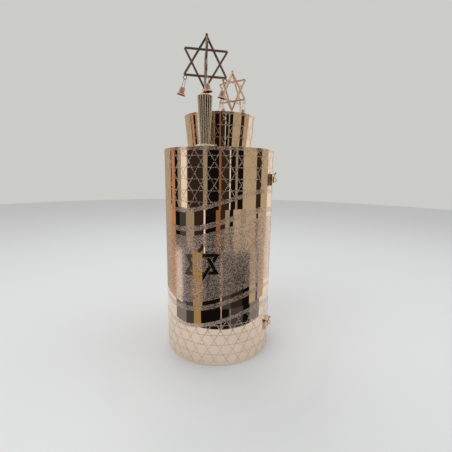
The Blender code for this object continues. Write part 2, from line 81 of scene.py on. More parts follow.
# Crown, from the frame
CROWN_LOW, CROWN_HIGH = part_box("crown_half_left")
CROWN_BASE_RADIUS = 92.5 * MM
CROWN_RIM_RADIUS = CROWN_HIGH.y
CROWN_WALL = 1.8 * MM
CROWN_LIP = 0.5 * MM
CROWN_FOOT_WIDTH = 6.0 * MM

# Etching
ETCH_DEPTH = 0.2 * MM
GRID_STEP = math.radians(3)

# Waved bands: half-heights of the bands' edges above and below the middle line
BAND_MIDDLE = CASE_TOP / 2
WAVE_HEIGHT = 25.0 * MM
WAVE_START = math.radians(-68.4)
FIELD_EDGE = 93.0 * MM
THIN_MIRROR_EDGE = 104.5 * MM
NARROW_ETCH_EDGE = 118.5 * MM
WIDE_MIRROR_EDGE = 156.0 * MM
LATTICE_EDGE = 167.0 * MM
BAND_EDGES = (FIELD_EDGE, THIN_MIRROR_EDGE, NARROW_ETCH_EDGE, WIDE_MIRROR_EDGE, LATTICE_EDGE)

# Star lattice on the case
LATTICE_LINE = 2.7 * MM
LATTICE_COLUMNS = 29
LATTICE_ROW = 29.0 * MM
LOWER_FIRST_LINE = 5.5 * MM
PLAIN_RIM = 8.0 * MM
LOWER_ROWS = 5
LOWER_HEXAGON = math.radians(-71.0)
UPPER_FIRST_LINE = 430.0 * MM
UPPER_ROWS = 5
UPPER_HEXAGON = math.radians(-71.3)
TOP_BORDER_LOW = 588.0 * MM
TOP_BEAD = 2.0 * MM

# Star lattice on the crown
CROWN_LINE = 2.6 * MM
CROWN_COLUMNS = 18
CROWN_ROW = 31.0 * MM
CROWN_FIRST_LINE = -2.5 * MM
CROWN_ROWS = 3
CROWN_HEXAGON = math.radians(-76.1)
CROWN_BORDER = 7.0 * MM

# Outlined star in the middle of each half
STAR_CENTER_HEIGHT = 293.0 * MM
STAR_REACH = 58.0 * MM
STAR_BAND = 9.2 * MM
STAR_GAP = 1.6 * MM
STAR_SLANT_UP = 0.11
STAR_SLANT_ALONG = 0.07

# Finials: a fluted column, two crossed stars on its cap and four bells
FINIAL_TURN = math.radians(22)
FINIAL_BASE_HEIGHT = 4.8 * MM
COLUMN_FOOT_RADIUS = 13.0 * MM
COLUMN_TOP_RADIUS = 18.9 * MM
COLUMN_HEIGHT = 116.0 * MM
FOOT_BEAD = 1.5 * MM
FLUTES = 18
FLUTE_STEPS = 10
FLUTE_DEPTH = 2.2 * MM
FLUTE_END = 6.0 * MM
# Share of each flute's width that is painted dark as shade
FLUTE_SHADE_SHARE = 0.6
CAP_SHOULDER = 2.6 * MM
CAP_STEPS = 8
CAP_LOBE = 1.2 * FLUTE_DEPTH
CAP_SWELL = 0.8 * MM
NECK_RADIUS = 3.4 * MM
NECK_HEIGHT = 1.0 * MM
TOUCH_GAP = 0.3 * MM
CAGE_RADIUS = 59.4 * MM
BAR_WIDTH = 5.4 * MM
BAR_DEPTH = 4.2 * MM
TIP_CUT = 5.0 * MM
CAGE_TIP = CAGE_RADIUS + BAR_WIDTH - TIP_CUT
BAR_STEP = 0.2 * MM
BAR_EASE = 0.4 * MM
BALL_RADIUS = 3.6 * MM
BALL_RISE = 0.8 * BALL_RADIUS
EYE_RING = 4.2 * MM
EYE_WIRE = 0.8 * MM
EYE_INSET = 2.5 * MM
LEFT_LEAN = math.radians(2.1)
LEFT_LEAN_HEADING = math.radians(-78)
BELL_RADIUS = 11.4 * MM
BELL_HEIGHT = 19.0 * MM
BELL_WALL = 0.9 * MM
BELL_CROWN_RADIUS = 4.8 * MM
BELL_WAIST = 0.58 * BELL_RADIUS
BELL_SHOULDER = -0.06 * BELL_HEIGHT
BELL_LOOP_HEIGHT = 20.3 * MM
BELL_LOOP_WIDTH = 5.2 * MM
BELL_LOOP_FOOT = 10.8 * MM
BELL_LOOP_WIRE = 0.7 * MM
BELL_LOOP_TURN = math.radians(56)
BELL_CLEARANCE = 0.4 * MM
BELL_SWINGS = (math.radians(4), math.radians(-3), math.radians(7), math.radians(3))
BELL_LEANS = (math.radians(-6), math.radians(-13), math.radians(-2), math.radians(10))

# Clasps: a catch on the left half and a strap on the right half, at two heights
CLASP_HEIGHTS = {"lower": 82.0 * MM, "upper": CASE_TOP - 82.0 * MM}
CATCH_HEIGHT = 33.0 * MM
CATCH_NEAR = 6.0 * MM
CATCH_FAR = 36.0 * MM
CATCH_DEPTH = 7.8 * MM
CATCH_FLANGE = 5.0 * MM
CATCH_PANEL = 0.5 * MM
CLASP_PLATE = 1.6 * MM
STRAP_HEIGHT = 18.0 * MM
STRAP_THICKNESS = 1.6 * MM
STRAP_CLEARANCE = 0.4 * MM
STRAP_REACH = 26.0 * MM
STRAP_FOOT_NEAR = 1.6 * MM
STRAP_FOOT_FAR = 18.0 * MM
PULL_PROUD = 3.9 * MM
PULL_WIRE = 0.9 * MM
CLASP_BALL_RADIUS = 3.0 * MM
CLASP_BALL_RISE = 8.5 * MM
CLASP_EDGE = 0.35 * MM
BEND_STEP = 2.5 * MM

# Hinges at the back, beside the clasps' heights
HINGE_HEIGHT = 36.0 * MM
HINGE_BARREL = 3.1 * MM
HINGE_PIN = 1.4 * MM
HINGE_HOLE = 1.7 * MM
HINGE_KNUCKLE_GAP = 0.4 * MM
HINGE_LEAF = 1.5 * MM
HINGE_REACH = 18.0 * MM
HINGE_AXIS_Y = (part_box("hinge_pin_lower")[0].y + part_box("hinge_pin_lower")[1].y) / 2
PIN_HEAD = 2.3 * MM
PIN_HEAD_HEIGHT = 1.2 * MM
HEAD_RADIUS = 1.6 * MM
HEAD_HEIGHT = 0.9 * MM


def meshed(name, bm, materials=()):
    mesh = bpy.data.meshes.new(name)
    bm.to_mesh(mesh)
    bm.free()
    for material in materials:
        mesh.materials.append(material)
    return mesh


def linked(name, mesh):
    piece = bpy.data.objects.new(name, mesh)
    bpy.context.scene.collection.objects.link(piece)
    return piece


def placed(piece, body, slot, *nodes):
    """Puts a piece on its body and hides the solids it stands for. The slot argument is not used."""
    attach(piece, body)
    if nodes:
        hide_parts(*nodes)
    return piece


def principled(name):
    material = bpy.data.materials.new(name)
    material.use_nodes = True
    return material, material.node_tree, material.node_tree.nodes["Principled BSDF"]


def noise(tree, coordinates, scale, detail=3.0, roughness=0.5):
    node = tree.nodes.new("ShaderNodeTexNoise")
    node.inputs["Scale"].default_value = scale
    node.inputs["Detail"].default_value = detail
    node.inputs["Roughness"].default_value = roughness
    tree.links.new(coordinates, node.inputs["Vector"])
    return node.outputs["Fac"]


def ranged(tree, value, low, high, start=0.35, end=0.65):
    """Maps a texture's middle range onto a low and a high value."""
    node = tree.nodes.new("ShaderNodeMapRange")
    node.inputs["From Min"].default_value = start
    node.inputs["From Max"].default_value = end
    node.inputs["To Min"].default_value = low
    node.inputs["To Max"].default_value = high
    tree.links.new(value, node.inputs["Value"])
    return node.outputs["Result"]


def mixed_color(tree, factor, one, two):
    node = tree.nodes.new("ShaderNodeMix")
    node.data_type = "RGBA"
    node.inputs[6].default_value = (*one, 1.0)
    node.inputs[7].default_value = (*two, 1.0)
    tree.links.new(factor, node.inputs[0])
    return node.outputs[2]


def bumped(tree, shader, height, strength, distance, before=None):
    node = tree.nodes.new("ShaderNodeBump")
    node.inputs["Strength"].default_value = strength
    node.inputs["Distance"].default_value = distance
    tree.links.new(height, node.inputs["Height"])
    if before is not None:
        tree.links.new(before, node.inputs["Normal"])
    tree.links.new(node.outputs["Normal"], shader.inputs["Normal"])
    return node.outputs["Normal"]


def object_coordinates(tree):
    return tree.nodes.new("ShaderNodeTexCoord").outputs["Object"]


def polished_metal(name, light, deep, low, high, wave=0.00035, metallic=1.0):
    """Mirror-polished sheet: a little uneven in colour and gloss, and never quite flat."""
    material, tree, shader = principled(name)
    shader.inputs["Metallic"].default_value = metallic
    where = object_coordinates(tree)
    clouds = noise(tree, where, 9.0, 2.0)
    tree.links.new(mixed_color(tree, ranged(tree, clouds, 0, 1), light, deep), shader.inputs["Base Color"])
    smudges = noise(tree, where, 38.0, 6.0, 0.62)
    tree.links.new(ranged(tree, smudges, low, high, 0.4, 0.72), shader.inputs["Roughness"])
    dents = noise(tree, where, 16.0, 1.0)
    bumped(tree, shader, dents, 0.6, wave)
    return material


def etched_metal(name, light, deep):
    """Acid-etched stipple: dull pale grains among grains that still mirror."""
    material, tree, shader = principled(name)
    where = object_coordinates(tree)
    grains = tree.nodes.new("ShaderNodeTexVoronoi")
    grains.inputs["Scale"].default_value = 480.0
    tree.links.new(where, grains.inputs["Vector"])
    spread = tree.nodes.new("ShaderNodeSeparateColor")
    tree.links.new(grains.outputs["Color"], spread.inputs["Color"])
    tree.links.new(mixed_color(tree, spread.outputs["Red"], light, deep), shader.inputs["Base Color"])
    tree.links.new(ranged(tree, spread.outputs["Red"], 0.70, 0.95, 0, 0.8), shader.inputs["Metallic"])
    tree.links.new(ranged(tree, spread.outputs["Green"], 0.10, 0.32, 0, 1), shader.inputs["Roughness"])
    fine = noise(tree, where, 900.0, 2.0)
    first = bumped(tree, shader, fine, 0.35, 0.0001)
    bumped(tree, shader, spread.outputs["Blue"], 0.28, 0.0003, first)
    return material


ROSE_MIRROR = polished_metal("rose_mirror", (0.97, 0.80, 0.64), (0.94, 0.74, 0.57), 0.025, 0.07)
ROSE_ETCHED = etched_metal("rose_etched", (1.0, 0.80, 0.68), (0.62, 0.45, 0.38))
ROSE_INSIDE = polished_metal("rose_inside", (0.86, 0.74, 0.62), (0.80, 0.66, 0.53), 0.28, 0.42)
CLASP_METAL = polished_metal("clasp_metal", (0.90, 0.70, 0.55), (0.80, 0.60, 0.46), 0.08, 0.16, 0.0001)
BRONZE = polished_metal("pale_bronze", (1.0, 0.85, 0.64), (0.90, 0.73, 0.52), 0.20, 0.30, 0.0001, 0.5)
# Near-black bronze for the flute floors: painted shade in the grooves, not the metal's own colour
FLUTE_SHADE_BRONZE = polished_metal("flute_painted_shade", (0.16, 0.11, 0.10), (0.10, 0.07, 0.06), 0.20, 0.32, 0.0001)
# One copper for both stars in two copies: the left star's copy is darkened as painted shade, the right
# star's copy lightened as painted light
STAR_COPPER_SHADED = polished_metal("dark_copper", (0.50, 0.32, 0.24), (0.34, 0.21, 0.15), 0.12, 0.24, 0.0001, 0.8)
STAR_COPPER_LIT = polished_metal("star_copper_painted_light", (0.86, 0.64, 0.48), (0.70, 0.48, 0.34), 0.10, 0.22, 0.0001, 0.8)
BELL_COPPER = polished_metal("bell_copper", (1.0, 0.74, 0.64), (0.88, 0.54, 0.44), 0.08, 0.16, 0.0001, 0.75)
# Dark red for the bells' insides and lips: painted shade in the hollow, not a second metal
BELL_INSIDE_SHADE = polished_metal("bell_inside_painted_shade", (0.45, 0.16, 0.11), (0.34, 0.11, 0.08), 0.12, 0.24, 0.0001)


def wave(angle):
    """How far the bands are lifted at this angle round the case."""
    return WAVE_HEIGHT * math.sin(2 * (angle - WAVE_START))


class Lattice:
    """Rows of six-pointed stars between level lines: three families of straight lines, evenly spaced."""

    def __init__(self, radius, first_line, rows, row, columns, line, hexagon):
        self.radius = radius
        self.first_line = first_line
        self.rows = rows
        self.row = row
        self.column = 2 * math.pi * radius / columns
        self.line = line
        self.hexagon = hexagon * radius
        self.lean = self.column / (2 * row)
        self.reach = line / 2 * math.sqrt(1 + self.lean**2)

    def off_slant(self, along, height, way):
        """Distance along the level to the nearest slanted line that leans this way."""
        crossing = self.hexagon + self.column / 2
        rise = height - self.first_line - self.row / 2
        turns = (along - crossing - way * self.lean * rise) / self.column
        return abs(turns - round(turns)) * self.column

    def on_line(self, along, height):
        level = (height - self.first_line) / self.row
        if abs(level - round(level)) * self.row < self.line / 2:
            return True
        return min(self.off_slant(along, height, way) for way in (-1, 1)) < self.reach

    def edges(self, start, end, low, high):
        """The lines' edges inside a rectangle, as pairs of (along, height) points."""
        found = []
        for index in range(self.rows + 1):
            for edge in (-self.line / 2, self.line / 2):
                height = self.first_line + index * self.row + edge
                if low < height < high:
                    found.append(((start, height), (end, height)))
        crossing = self.hexagon + self.column / 2
        middle = self.first_line + self.row / 2
        for way in (-1, 1):
            for edge in (-self.reach, self.reach):
                at_low = crossing + edge + way * self.lean * (low - middle)
                shift = way * self.lean * (high - low)
                first = math.floor((start - abs(shift) - at_low) / self.column)
                last = math.ceil((end + abs(shift) - at_low) / self.column)
                for index in range(first, last + 1):
                    along = at_low + index * self.column
                    piece = clipped((along, low), (along + shift, high), start, end)
                    if piece:
                        found.append(piece)
        return found


def clipped(one, two, start, end):
    """The part of a slanted stretch between two uprights, or None."""
    run = two[0] - one[0]
    shares = sorted(((start - one[0]) / run, (end - one[0]) / run))
    first = max(0.0, shares[0])
    last = min(1.0, shares[1])
    if first >= last:
        return None
    rise = two[1] - one[1]
    return (one[0] + first * run, one[1] + first * rise), (one[0] + last * run, one[1] + last * rise)


class OutlinedStar:
    """A star of six woven bands round a centre. Each band passes over the next and under the one before."""

    CENTER_LINE = (STAR_REACH - STAR_BAND) / 2
    HALF = STAR_BAND / 2

    def __init__(self, along, height):
        self.along = along
        self.height = height
        self.normals = [math.radians(90 - 60 * band) for band in range(6)]

    def flat(self, along, height):
        """Undoes the slant: a point in the star's own upright coordinates."""
        u = along - self.along
        v = height - self.height
        share = 1 - STAR_SLANT_UP * STAR_SLANT_ALONG
        return (u - STAR_SLANT_ALONG * v) / share, (v - STAR_SLANT_UP * u) / share

    def slanted(self, x, y):
        return self.along + x + STAR_SLANT_ALONG * y, self.height + y + STAR_SLANT_UP * x

    def off(self, band, x, y):
        """Signed distance of a point from a band's centre line, outwards positive."""
        normal = self.normals[band % 6]
        return x * math.cos(normal) + y * math.sin(normal) - self.CENTER_LINE

    def covers(self, along, height):
        x, y = self.flat(along, height)
        for first in (0, 1):
            band = max((first, first + 2, first + 4), key=lambda index: self.off(index, x, y))
            if abs(self.off(band, x, y)) >= self.HALF:
                continue
            if abs(self.off(band - 1, x, y)) > self.HALF + STAR_GAP:
                return True
            if abs(self.off(band + 1, x, y)) < self.HALF:
                return True
        return False

    def meeting(self, one, off_one, two, off_two):
        """Where two bands' lines meet, each moved outwards by its own distance."""
        a = self.normals[one % 6]
        b = self.normals[two % 6]
        p = self.CENTER_LINE + off_one
        q = self.CENTER_LINE + off_two
        turn = math.sin(b - a)
        return (p * math.sin(b) - q * math.sin(a)) / turn, (q * math.cos(a) - p * math.cos(b)) / turn

    def edges(self):
        found = []
        for band in range(6):
            for edge in (-self.HALF, self.HALF):
                ends = [self.meeting(band, edge, band + step, edge) for step in (-2, 2)]
                found.append(tuple(self.slanted(*end) for end in ends))
            for edge in (-self.HALF - STAR_GAP, self.HALF + STAR_GAP):
                ends = [self.meeting(band, edge, band + 1, across) for across in (-self.HALF, self.HALF)]
                found.append(tuple(self.slanted(*end) for end in ends))
        return found


LOWER_LATTICE = Lattice(
    CASE_RADIUS, LOWER_FIRST_LINE, LOWER_ROWS, LATTICE_ROW, LATTICE_COLUMNS, LATTICE_LINE, LOWER_HEXAGON
)
UPPER_LATTICE = Lattice(
    CASE_RADIUS, UPPER_FIRST_LINE, UPPER_ROWS, LATTICE_ROW, LATTICE_COLUMNS, LATTICE_LINE, UPPER_HEXAGON
)
CROWN_MEAN_RADIUS = (CROWN_BASE_RADIUS + CROWN_RIM_RADIUS) / 2
CROWN_LATTICE = Lattice(
    CROWN_MEAN_RADIUS,
    CROWN_LOW.z + CROWN_FIRST_LINE,
    CROWN_ROWS,
    CROWN_ROW,
    CROWN_COLUMNS,
    CROWN_LINE,
    CROWN_HEXAGON,
)
STARS = {side: OutlinedStar(side * math.pi / 2 * CASE_RADIUS, STAR_CENTER_HEIGHT) for side in (LEFT, RIGHT)}


def case_is_etched(side, along, height):
    """Whether the case's surface is etched at this point, along being the arc from the clasps' side."""
    rise = height - BAND_MIDDLE - wave(along / CASE_RADIUS)
    off = abs(rise)
    if off < FIELD_EDGE:
        return not STARS[side].covers(along, height)
    if off < LATTICE_EDGE:
        return THIN_MIRROR_EDGE < off < NARROW_ETCH_EDGE or off > WIDE_MIRROR_EDGE
    if height > CASE_TOP - TOP_BEAD:
        return False
    if height > TOP_BORDER_LOW:
        return True
    if rise > 0:
        return UPPER_LATTICE.on_line(along, height)
    return height > PLAIN_RIM and LOWER_LATTICE.on_line(along, height)


def case_edges(side, start, end):
    found = LOWER_LATTICE.edges(start, end, PLAIN_RIM, BAND_MIDDLE - LATTICE_EDGE + WAVE_HEIGHT)
    found += UPPER_LATTICE.edges(start, end, BAND_MIDDLE + LATTICE_EDGE - WAVE_HEIGHT, TOP_BORDER_LOW)
    for height in (PLAIN_RIM, TOP_BORDER_LOW, CASE_TOP - TOP_BEAD):
        found.append(((start, height), (end, height)))
    steps = round((end - start) / CASE_RADIUS / (GRID_STEP / 2))
    for edge in BAND_EDGES:
        for way in (-1, 1):
            line = []
            for step in range(steps + 1):
                along = start + (end - start) * step / steps
                line.append((along, BAND_MIDDLE + way * edge + wave(along / CASE_RADIUS)))
            found += list(zip(line, line[1:]))
    return found + STARS[side].edges()


def crown_is_etched(side, along, height):
    if height > CROWN_HIGH.z - TOP_BEAD or height < CROWN_LOW.z + CROWN_LINE:
        return False
    if height > CROWN_HIGH.z - CROWN_BORDER:
        return True
    return CROWN_LATTICE.on_line(along, height)


def crown_edges(side, start, end):
    low = CROWN_LOW.z + CROWN_LINE
    high = CROWN_HIGH.z - CROWN_BORDER
    found = CROWN_LATTICE.edges(start, end, low, high)
    for height in (low, high, CROWN_HIGH.z - TOP_BEAD):
        found.append(((start, height), (end, height)))
    return found


def arc(center, radius, start, end, steps):
    """(radius, height, normal angle) points of a rounding in a profile, angles in degrees."""
    points = []
    for step in range(steps + 1):
        angle = math.radians(start + (end - start) * step / steps)
        points.append((center[0] + radius * math.cos(angle), center[1] + radius * math.sin(angle), angle))
    return points


def straight(one, two):
    """A straight stretch of a profile, with the normal on its right-hand side."""
    facing = math.atan2(one[0] - two[0], two[1] - one[1])
    return [(*one, facing), (*two, facing)]


def decorated_half(name, side, radius_at, low, high, reference, is_etched, edges_of, closing):
    """Half of a round wall with etched ornament sunk into its skin, and a turned profile behind it.

    radius_at gives the skin's radius at a height. closing is a list of profile stretches that
    lead from the skin's top edge over and through the inside back to its bottom edge.
    """
    middle = side * math.pi / 2
    start = (middle - math.pi / 2) * reference
    end = (middle + math.pi / 2) * reference
    columns = round(math.pi / GRID_STEP)
    alongs = [start + (end - start) * column / columns for column in range(columns + 1)]
    slope = math.atan2(radius_at(high) - radius_at(low), high - low)

    points = []
    segments = []
    lines = [((along, low), (along, high)) for along in alongs]
    lines += [((one, level), (two, level)) for level in (low, high) for one, two in zip(alongs, alongs[1:])]
    for one, two in lines + edges_of(side, start, end):
        points += [Vector(one), Vector(two)]
        segments.append((len(points) - 2, len(points) - 1))
    flat, _, triangles, _, _, _ = delaunay_2d_cdt(points, segments, [], 0, 1e-7)
    etched = []
    for triangle in triangles:
        center = sum((flat[index] for index in triangle), Vector((0, 0))) / 3
        etched.append(is_etched(side, center.x, center.y))

    bm = bmesh.new()
    facing = bm.loops.layers.float_vector.new("facing")
    verts = {}

    def direction(along):
        angle = along / reference
        return Vector((math.sin(angle), -math.cos(angle), 0))

    def spot(along, radius, height):
        return direction(along) * radius + Vector((side * SEAM_HALF, 0, height))

    def skin_vert(index, deep):
        key = (index, deep)
        if key not in verts:
            along, height = flat[index]
            verts[key] = bm.verts.new(spot(along, radius_at(height) - ETCH_DEPTH * deep, height))
        return verts[key]

    def add_face(corners, normals, material):
        face = bm.faces.new(corners)
        face.smooth = True
        face.material_index = material
        for loop, normal in zip(face.loops, normals):
            loop[facing] = normal
        return face

    def skin_normal(index):
        out = direction(flat[index].x) * math.cos(slope)
        return out - Vector((0, 0, math.sin(slope)))

    beside = {}
    for triangle, deep in zip(triangles, etched):
        corners = [skin_vert(index, deep) for index in triangle]
        add_face(corners, [skin_normal(index) for index in triangle], int(deep))
        for one, two in zip(triangle, triangle[1:] + triangle[:1]):
            beside[(one, two)] = deep
    for (one, two), deep in beside.items():
        if deep and beside.get((two, one)) is False:
            corners = [skin_vert(one, False), skin_vert(two, False)]
            corners += [skin_vert(two, True), skin_vert(one, True)]
            rise = corners[1].co - corners[0].co
            normal = rise.cross(corners[2].co - corners[1].co).normalized()
            add_face(corners, [normal] * 4, 1)

    rims = {}
    for level in (low, high):
        for along in alongs:
            index = min(range(len(flat)), key=lambda i: abs(flat[i].x - along) + abs(flat[i].y - level))
            rims[(level, along)] = skin_vert(index, False)
    profile_verts = {}

    def profile_vert(along, radius, height):
        for level in (low, high):
            if abs(height - level) < 1e-9 and abs(radius - radius_at(level)) < 1e-9:
                return rims[(level, along)]
        key = (round(radius, 9), round(height, 9), None if radius < 1e-9 else along)
        if key not in profile_verts:
            profile_verts[key] = bm.verts.new(spot(along, radius, height))
        return profile_verts[key]

    for stretch, material in closing:
        for (r0, z0, n0), (r1, z1, n1) in zip(stretch, stretch[1:]):
            for one, two in zip(alongs, alongs[1:]):
                corners = [profile_vert(one, r0, z0), profile_vert(two, r0, z0)]
                corners += [profile_vert(two, r1, z1), profile_vert(one, r1, z1)]
                normals = []
                for along, turn in ((one, n0), (two, n0), (two, n1), (one, n1)):
                    normals.append(direction(along) * math.cos(turn) + Vector((0, 0, math.sin(turn))))
                kept = [i for i, corner in enumerate(corners) if corner not in corners[:i]]
                if len(kept) > 2:
                    add_face([corners[i] for i in kept], [normals[i] for i in kept], material)

    open_edges = [edge for edge in bm.edges if len(edge.link_faces) == 1]
    made = bmesh.ops.triangle_fill(bm, edges=open_edges, use_beauty=True, normal=(side, 0, 0))
    for face in [item for item in made["geom"] if isinstance(item, bmesh.types.BMFace)]:
        face.normal_update()
        if face.normal.x * side > 0:
            face.normal_flip()
        face.smooth = True
        face.material_index = 2
        for loop in face.loops:
            loop[facing] = Vector((-side, 0, 0))

    mesh = meshed(name, bm, (ROSE_MIRROR, ROSE_ETCHED, ROSE_INSIDE))
    values = [0.0] * (3 * len(mesh.loops))
    mesh.attributes["facing"].data.foreach_get("vector", values)
    mesh.attributes.remove(mesh.attributes["facing"])
    mesh.normals_split_custom_set([values[i : i + 3] for i in range(0, len(values), 3)])
    return linked(name, mesh)


def make_case_half(side):
    inner = CASE_RADIUS - CASE_WALL
    low = CASE_LOW.z + CASE_EDGE
    high = CASE_TOP - CASE_EDGE
    floor = CASE_LOW.z + CASE_PLATE
    ceiling = CASE_TOP - CASE_PLATE
    rounded = CASE_RADIUS - CASE_EDGE
    closing = [
        (arc((rounded, high), CASE_EDGE, 0, 90, 4), 0),
        (straight((rounded, CASE_TOP), (0, CASE_TOP)), 0),
        (straight((0, ceiling), (inner, ceiling)), 2),
        (straight((inner, ceiling), (inner, floor)), 2),
        (straight((inner, floor), (0, floor)), 2),
        (straight((0, CASE_LOW.z), (rounded, CASE_LOW.z)), 0),
        (arc((rounded, low), CASE_EDGE, -90, 0, 4), 0),
    ]
    name = f"case_{WORDS[side]}"
    piece = decorated_half(
        name, side, lambda height: CASE_RADIUS, low, high, CASE_RADIUS, case_is_etched, case_edges, closing
    )
    return placed(piece, BODIES[side], "rose_metal", f"case_half_{WORDS[side]}")


def crown_radius(height):
    share = (height - CROWN_LOW.z) / (CROWN_HIGH.z - CROWN_LOW.z)
    return CROWN_BASE_RADIUS + (CROWN_RIM_RADIUS - CROWN_BASE_RADIUS) * share


def make_crown_half(side):
    seat = CROWN_LOW.z
    foot = seat + CROWN_WALL
    top = CROWN_HIGH.z
    high = top - CROWN_LIP
    foot_inner = CROWN_BASE_RADIUS - CROWN_FOOT_WIDTH
    outer = crown_radius(high)
    closing = [
        (arc((outer - CROWN_LIP, high), CROWN_LIP, 0, 90, 3), 0),
        (straight((outer - CROWN_LIP, top), (outer - CROWN_WALL + CROWN_LIP, top)), 0),
        (arc((outer - CROWN_WALL + CROWN_LIP, high), CROWN_LIP, 90, 180, 3), 0),
        (straight((outer - CROWN_WALL, high), (crown_radius(foot) - CROWN_WALL, foot)), 2),
        (straight((crown_radius(foot) - CROWN_WALL, foot), (foot_inner, foot)), 2),
        (straight((foot_inner, foot), (foot_inner, seat)), 2),
        (straight((foot_inner, seat), (CROWN_BASE_RADIUS, seat)), 2),
    ]
    name = f"crown_{WORDS[side]}"
    piece = decorated_half(
        name, side, crown_radius, seat, high, CROWN_MEAN_RADIUS, crown_is_etched, crown_edges, closing
    )
    return placed(piece, BODIES[side], "rose_metal", f"crown_half_{WORDS[side]}")


def finished(name, bm, materials, sharp=math.radians(34)):
    """Makes a shaded piece from a bmesh of closed shells."""
    bmesh.ops.recalc_face_normals(bm, faces=bm.faces)
    mesh = meshed(name, bm, materials)
    mesh.shade_smooth()
    mesh.set_sharp_from_angle(angle=sharp)
    return linked(name, mesh)


def bridged(bm, rings, material=0, closed=False):
    """Walls between neighbouring rings of points. An open row gets a flat face at each end."""
    follow = rings[1:] + rings[:1] if closed else rings[1:]
    for here, there in zip(rings, follow):
        for index, (one, two) in enumerate(zip(here, there)):
            after = (index + 1) % len(here)
            bm.faces.new((one, here[after], there[after], two)).material_index = material
    if not closed:
        bm.faces.new(rings[0][::-1]).material_index = material
        bm.faces.new(rings[-1]).material_index = material


def turned(bm, profile, sides, matrix, materials=None):
    """Turns a closed (radius, height) profile round its axis into one shell."""
    rings = []
    for side in range(sides):
        angle = 2 * math.pi * side / sides
        ring = []
        for index, (radius, height) in enumerate(profile):
            if radius < 1e-7 and side:
                ring.append(rings[0][index])
            else:
                point = Vector((radius * math.cos(angle), radius * math.sin(angle), height))
                ring.append(bm.verts.new(matrix @ point))
        rings.append(ring)
    for here, there in zip(rings, rings[1:] + rings[:1]):
        for index in range(len(profile)):
            after = (index + 1) % len(profile)
            corners = dict.fromkeys((here[index], here[after], there[after], there[index]))
            if len(corners) > 2:
                face = bm.faces.new(list(corners))
                face.material_index = materials[index] if materials else 0


def smoothed(points, steps):
    """A curve through (radius, height) points, with a few steps between each pair."""
    curve = []
    last = len(points) - 1
    for index in range(last):
        before = Vector(points[max(0, index - 1)])
        one = Vector(points[index])
        two = Vector(points[index + 1])
        after = Vector(points[min(last, index + 2)])
        for step in range(steps):
            t = step / steps
            pull = (two - before) * t + (2 * before - 5 * one + 4 * two - after) * t**2
            pull += (3 * one - before - 3 * two + after) * t**3
            curve.append(tuple(one + pull / 2))
    return curve + [points[-1]]


def rounded_points(center, radius, start, end, steps):
    """(across, height) points of an arc, angles in degrees."""
    return [(a, b) for a, b, _ in arc(center, radius, start, end, steps)]


def wire(bm, points, radius, sides, matrix, closed=True, material=0):
    """A round wire along points in the XZ plane."""
    normal = Vector((0, 1, 0))
    rings = []
    count = len(points)
    for index, point in enumerate(points):
        before = points[index - 1] if closed or index else point
        after = points[(index + 1) % count] if closed or index < count - 1 else point
        outward = (after - before).normalized().cross(normal)
        ring = []
        for side in range(sides):
            angle = 2 * math.pi * side / sides
            offset = radius * (outward * math.cos(angle) + normal * math.sin(angle))
            ring.append(bm.verts.new(matrix @ (point + offset)))
        rings.append(ring)
    bridged(bm, rings, material, closed)


def ball(bm, radius, matrix):
    bmesh.ops.create_uvsphere(bm, u_segments=28, v_segments=16, radius=radius, matrix=matrix)


def edges_eased(bm, offset, segments=2, sharp=math.radians(30)):
    """Rounds every edge that is sharper than an angle."""
    bmesh.ops.recalc_face_normals(bm, faces=bm.faces)
    edges = [edge for edge in bm.edges if edge.is_manifold and edge.calc_face_angle() > sharp]
    bmesh.ops.bevel(bm, geom=edges, offset=offset, segments=segments, profile=0.5, affect="EDGES")


def fluted_ring(bm, matrix, height, radius, flute, lobe):
    """A ring that dips by flute in the middle of each flute, and by lobe between the flutes."""
    ring = []
    count = FLUTES * FLUTE_STEPS
    for index in range(count):
        angle = 2 * math.pi * index / count
        middle = math.sin(math.pi * (index % FLUTE_STEPS) / FLUTE_STEPS)
        reach = radius - flute * middle**0.6 - lobe * (1 - middle**0.8)
        point = Vector((reach * math.cos(angle), reach * math.sin(angle), height))
        ring.append(bm.verts.new(matrix @ point))
    return ring


def column_levels(low, high):
    """Heights, radii and flute depths up the column. The flutes end in rounded scoops."""
    levels = []
    ends = [FLUTE_END * (1 - math.cos(math.radians(angle))) for angle in range(0, 91, 15)]
    spots = ends + [high - low - end for end in reversed(ends)]
    for spot in spots:
        near = min(spot, high - low - spot)
        depth = FLUTE_DEPTH * math.sqrt(1 - (1 - near / FLUTE_END) ** 2)
        radius = COLUMN_FOOT_RADIUS + (COLUMN_TOP_RADIUS - COLUMN_FOOT_RADIUS) * spot / (high - low)
        levels.append((low + spot, radius, depth, 0))
    return levels


def cap_levels(low, high):
    """Heights, radii and lobe depths up the pointed cap: a lobe stands over each flute."""
    levels = []
    shoulder = COLUMN_TOP_RADIUS - CAP_SHOULDER / 2
    for step in range(CAP_STEPS + 1):
        share = step / CAP_STEPS
        swell = CAP_SWELL * math.sin(math.pi * min(1, 0.25 + share)) * (1 - share)
        radius = shoulder + (NECK_RADIUS - shoulder) * share + swell
        levels.append((low + (high - low) * share, radius, 0, CAP_LOBE * (1 - share) ** 0.7))
    return levels


def finial_matrix(side):
    low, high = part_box(f"finial_stem_{WORDS[side]}")
    seat = Matrix.Translation(((low.x + high.x) / 2, (low.y + high.y) / 2, low.z))
    return seat @ Matrix.Rotation(-side * FINIAL_TURN, 4, "Z")


def stem_size(side):
    low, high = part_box(f"finial_stem_{WORDS[side]}")
    return high - low


